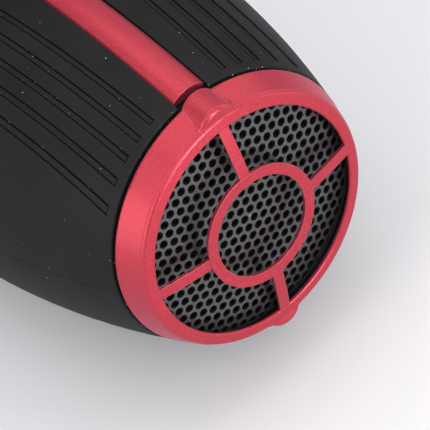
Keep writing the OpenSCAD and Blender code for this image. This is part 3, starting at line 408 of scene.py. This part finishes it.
def soft_black(name, printed=None):
    mat = new_finish(name, 0.5, Specular_IOR_Level=0.18)
    grain = noise(mat, 3200, 2)
    tone = two_tone(mat, noise(mat, 60, 2), (0.0105, 0.0105, 0.011), (0.0145, 0.0145, 0.015))
    # Sharp edges are lightened: a painted highlight where light catches them.
    tone = blend_colour(mat, sharp_places(mat, 0.22 * MM), tone, (0.035, 0.035, 0.036))
    if printed:
        tone = blend_colour(mat, printed(mat), tone, (0.6, 0.6, 0.58))
    nook = spread(mat, corners(mat, 2.5 * MM), 0.98, 0.8)
    feed(mat, "Base Color", blend_colour(mat, dust(mat, nook), tone, (0.75, 0.75, 0.75)))
    feed(mat, "Roughness", spread(mat, grain, 0.3, 0.7, 0.44, 0.58))
    round_edges(mat, 0.25 * MM)
    bump(mat, grain, 0.04 * MM, 0.5)
    bump(mat, product(mat, noise(mat, 1500, 4), nook), 0.1 * MM, 0.8)
    return mat


use(soft_black("soft_black_shell"), "upper_shell", "lower_shell", "handle_right", "nozzle")

# %% [markdown]
# The left half of the handle carries the speed dial. A ring of small dots is printed round the knob, from
# slow to fast, with a gap at the bottom where the dial ends. A dot's place follows from its distance
# and its angle to the knob's axis, so a little arithmetic on the part's own millimetres is enough.

# %% Print the dial on the handle
def dial_dots(mat):
    dots_per_turn, dot_radius, room_round_knob = 12, 0.6, 2.6
    left_face_y, lowest_share = 3, -0.8
    knob_lo, knob_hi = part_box("speed_knob")
    middle = (knob_lo + knob_hi) / 2
    radius = (knob_hi[0] - knob_lo[0]) / 2 / MM + room_round_knob
    x, y, z = mm_from(mat, (middle[0], 0, middle[2]))
    steps = product(mat, reckon(mat, "ARCTAN2", z, x), dots_per_turn / (2 * math.pi))
    beside = reckon(mat, "SUBTRACT", steps, reckon(mat, "ROUND", steps))
    along = product(mat, beside, 2 * math.pi * radius / dots_per_turn)
    outward = reckon(mat, "SUBTRACT", long_side(mat, x, z), radius)
    inside = reckon(mat, "LESS_THAN", long_side(mat, along, outward), dot_radius)
    above_gap = reckon(mat, "GREATER_THAN", z, lowest_share * radius)
    outer_face = reckon(mat, "GREATER_THAN", y, left_face_y)
    return product(mat, inside, above_gap, outer_face)


use(soft_black("soft_black_with_dial", dial_dots), "handle_left")

# %% [markdown]
# ## The screen's paint
# A punched steel sheet, pressed to a shallow dome and painted grey. The paint is satin and slightly
# uneven, and the punch has rounded the holes' edges a little.

# %% Mix the screen's paint
sheet_grey = new_finish("grey_screen_paint", 0.33, 0.75, Specular_IOR_Level=0.6)
patch = noise(sheet_grey, 900, 3)
feed(sheet_grey, "Base Color", two_tone(sheet_grey, patch, (0.12, 0.12, 0.122), (0.17, 0.17, 0.173)))
round_edges(sheet_grey, 0.1 * MM)
bump(sheet_grey, patch, 0.05 * MM, 0.4)
use(sheet_grey, "mesh_screen")

# %% [markdown]
# ## Hidden plastics and rubber
# Inside, the parts are plain technical plastic and dull rubber. They show through the screen's holes and
# whenever the grille or the nozzle comes off, so they get their own grain too.

# %% Plain black plastic
plain = new_finish("plain_black_plastic", 0.5, Specular_IOR_Level=0.3)
speck = noise(plain, 1800, 2)
feed(plain, "Base Color", two_tone(plain, speck, (0.006, 0.006, 0.0065), (0.011, 0.011, 0.012)))
round_edges(plain, 0.25 * MM)
bump(plain, speck, 0.04 * MM, 0.4)
use(plain, "filter_basket", "filter_retainer", "switch_bezel", "switch_body", "speed_pot", "inlet_duct",
    "motor_spider", "outlet_duct")

# %% [markdown]
# Rubber is duller than plastic, and a little powder from its mould stays on it, which makes it uneven.

# %% Dull rubber
rubber = new_finish("dull_rubber", 0.72)
powder = noise(rubber, 700, 4)
feed(rubber, "Base Color", two_tone(rubber, powder, (0.012, 0.012, 0.012), (0.026, 0.026, 0.026)))
round_edges(rubber, 0.4 * MM)
bump(rubber, powder, 0.08 * MM, 0.5)
use(rubber, "rubber_feet", "soft_grip", "rear_motor_mount", "front_motor_mount", "spigot_seal", "nozzle_tip",
    "cord_gland")

# %% [markdown]
# ## The foam filter
# Filter foam is a skeleton of open cells, about 18 to the inch. The ready-made part is only a smooth
# disc, so we build a fuller one in its place. A round sheet of small squares is pressed in wherever a
# cell opens at its surface, and its rim is rounded as a die-cut edge is. We start with the shape of one
# point of that sheet.

# %% Shape a point of the foam
foam_lo, foam_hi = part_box("foam_filter")
foam_r = (foam_hi[1] - foam_lo[1]) / 2
cells_per_metre = 700
pore_depth = 0.55 * MM
pore_steepness = 1.9
rim_width = 1.2 * MM
rim_depth = 0.5 * MM
surface_gap = 0.02 * MM


def foam_point(r, angle, side):
    edge = max(0.0, (r - foam_r + rim_width) / rim_width)
    y, z = r * math.cos(angle), r * math.sin(angle)
    from_cell = mnoise.voronoi(Vector((y, z, side)) * cells_per_metre)[0][0]
    pore = pore_depth * max(0.0, 1 - pore_steepness * from_cell)
    inward = surface_gap + pore + rim_depth * edge * edge
    x = foam_lo[0] + inward if side < 0 else foam_hi[0] - inward
    return x, y, axis_z + z


print("foam radius in mm:", round(foam_r / MM, 1))

# %% [markdown]
# The disc has two such sheets, one for each face, made of rings of points. Neighbouring rings are joined
# with small squares, each sheet is closed in the middle, and a last band joins the two at the rim.

# %% Build the foam disc
rings, spokes = 46, 220
inner_r = 0.3 * MM
outer_r = foam_r * 0.999
shape = bmesh.new()


def foam_ring(r, side):
    return [shape.verts.new(foam_point(r, 2 * math.pi * k / spokes, side)) for k in range(spokes)]


def join(first, second, outward):
    for k in range(spokes):
        n = (k + 1) % spokes
        face = (first[k], first[n], second[n], second[k])
        shape.faces.new(face if outward else face[::-1])


rims = []
for side in (-1, 1):
    sheet = [foam_ring(max(inner_r, outer_r * i / rings), side) for i in range(rings + 1)]
    for inner, outer in zip(sheet, sheet[1:]):
        join(inner, outer, side < 0)
    shape.faces.new(sheet[0] if side > 0 else sheet[0][::-1])
    rims.append(sheet[-1])
join(rims[0], rims[1], True)
bmesh.ops.recalc_face_normals(shape, faces=shape.faces)
mesh = bpy.data.meshes.new("foam_disc")
shape.to_mesh(mesh)
shape.free()
for face in mesh.polygons:
    face.use_smooth = True
foam_disc = bpy.data.objects.new("foam_disc", mesh)
bpy.context.collection.objects.link(foam_disc)
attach(foam_disc, "grille_cap")
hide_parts("foam_filter")
print("foam disc:", len(mesh.vertices), "points")

# %% [markdown]
# The same pores go on in the foam's material at a finer scale: the cells' middles, where the pores open
# into the foam, are painted dark as painted shade, and their walls a little lighter.

# %% Mix the foam's material
foam = new_finish("open_foam", 0.95, Specular_IOR_Level=0.15)
pores = cells(foam, 1100).outputs["Distance"]
# Painted shade: dark in the pores' middles, a little lighter on their walls.
walls = spread(foam, pores, 0.1, 0.6)
feed(foam, "Base Color", blend_colour(foam, walls, (0.0008, 0.0008, 0.0008), (0.006, 0.006, 0.006)))
bump(foam, pores, 0.5 * MM, 1.0)
mesh.materials.append(foam)
use(foam, "foam_filter")

# %% [markdown]
# ## Metals
# Plated screws, ground steel, sheet and cast aluminium, and brass. Each is a metal shader whose roughness
# varies with a noise that is drawn out along the way the part was worked.

# %% Mix the metals
def metal(name, dark, light, roughness, scale, stretch=(1, 1, 1), depth=0.02 * MM):
    mat = new_finish(name, roughness, 1.0)
    marks = noise(mat, scale, 3, stretch)
    feed(mat, "Base Color", two_tone(mat, marks, dark, light))
    feed(mat, "Roughness", spread(mat, marks, 0.2, 0.8, roughness - 0.08, roughness + 0.1))
    round_edges(mat, 0.2 * MM)
    bump(mat, marks, depth, 0.4)
    return mat


use(metal("plated_screws", (0.42, 0.42, 0.44), (0.58, 0.58, 0.6), 0.3, 500), "shell_screws", "handle_screws",
    "foot_screws", "impeller_nut", "motor_bolts")
use(metal("ground_steel", (0.5, 0.5, 0.52), (0.62, 0.62, 0.64), 0.22, 300, (40, 1, 1)), "shaft",
    "rear_bearing", "front_bearing")
use(metal("sheet_aluminium", (0.62, 0.63, 0.65), (0.78, 0.79, 0.8), 0.32, 200, (1, 1, 8)), "fan_case",
    "guide_plate", "impeller", "heat_sink")
use(metal("cast_aluminium", (0.45, 0.46, 0.48), (0.6, 0.61, 0.63), 0.5, 450, depth=0.1 * MM),
    "rear_bracket", "front_bracket")
use(metal("brass_boxes", (0.6, 0.42, 0.16), (0.75, 0.55, 0.25), 0.33, 300), "brush_holders")

# %% [markdown]
# The motor's iron is a stack of thin sheets, and its coils are wound wire. Both are fine stripes: the
# noise is drawn out so far that it only changes across the sheets or across the wire.

# %% Steel stacks and copper wire
use(metal("steel_stack", (0.2, 0.2, 0.21), (0.32, 0.32, 0.33), 0.4, 2000, (1, 0.02, 0.02), 0.2 * MM),
    "field_core", "armature")
use(metal("enamelled_wire", (0.42, 0.13, 0.04), (0.62, 0.24, 0.08), 0.28, 1200, (1, 0.05, 1), 0.3 * MM),
    "field_coils", "commutator")

# %% [markdown]
# ## Small parts
# The knob and the rocker are glossy plastic with marks in white paint. The knob's mark is the top of its
# pointer rib, so everything that stands out further than the rest of the knob is white.

# %% The knob's plastic with its white pointer
white_paint = (0.7, 0.7, 0.68)


def gloss_black(name, marked):
    mat = new_finish(name, 0.22)
    wave = noise(mat, 350, 2)
    black = blend_colour(mat, wave, (0.008, 0.008, 0.009), (0.013, 0.013, 0.015))
    feed(mat, "Base Color", blend_colour(mat, marked(mat), black, white_paint))
    round_edges(mat, 0.3 * MM)
    bump(mat, wave, 0.03 * MM, 0.3)
    return mat


def pointer_rib(mat):
    rib_height = 0.9
    knob_face_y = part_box("speed_knob")[1][1] / MM
    return reckon(mat, "GREATER_THAN", mm_from(mat)[1], knob_face_y - rib_height)


use(gloss_black("knob_plastic", pointer_rib), "speed_knob")

# %% [markdown]
# The rocker has a bar for on and a ring for off. A mark is where the distance from a line or from a
# circle is small, and it is only on the upper side.

# %% The rocker's plastic with its marks
def on_and_off(mat):
    from_middle = 4.8
    bar_half_length, bar_half_width = 1.7, 0.4
    ring_radius, ring_half_width = 1.4, 0.33
    rocker_lo, rocker_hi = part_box("rocker")
    middle = (rocker_lo + rocker_hi) / 2
    x, y, z = mm_from(mat, (middle[0], 0, middle[2]))
    across = reckon(mat, "ABSOLUTE", y)
    from_bar = reckon(mat, "ABSOLUTE", reckon(mat, "SUBTRACT", x, from_middle))
    bar = product(mat, reckon(mat, "LESS_THAN", across, bar_half_width),
                  reckon(mat, "LESS_THAN", from_bar, bar_half_length))
    from_centre = long_side(mat, across, reckon(mat, "ADD", x, from_middle))
    from_ring = reckon(mat, "ABSOLUTE", reckon(mat, "SUBTRACT", from_centre, ring_radius))
    ring = reckon(mat, "LESS_THAN", from_ring, ring_half_width)
    upper_side = reckon(mat, "GREATER_THAN", z, 0)
    return product(mat, reckon(mat, "MAXIMUM", bar, ring), upper_side)


use(gloss_black("rocker_plastic", on_and_off), "rocker")

# %% [markdown]
# The last two are hidden deep inside: brushes of pressed carbon, and the green lacquered board of the
# speed control with its copper tracks.

# %% Carbon and board
carbon = new_finish("pressed_carbon", 0.55)
crumb = noise(carbon, 1500, 4)
feed(carbon, "Base Color", blend_colour(carbon, crumb, (0.01, 0.01, 0.01), (0.05, 0.05, 0.052)))
bump(carbon, crumb, 0.06 * MM, 0.5)
use(carbon, "carbon_brushes")

board = new_finish("green_board", 0.35)
tracks = add(board, "ShaderNodeTexBrick", Scale=260, Mortar_Size=0.03)
link(board, part_place(board), tracks.inputs["Vector"])
feed(board, "Base Color", blend_colour(board, tracks.outputs["Fac"], (0.01, 0.09, 0.035), (0.04, 0.2, 0.08)))
use(board, "speed_board")

# %% [markdown]
# ## Finish
# Every part now has its surface.

# %% List the parts without a finish
unfinished = [name for name, part in nodes.items() if not part.data.materials]
print("parts without a finish:", unfinished)
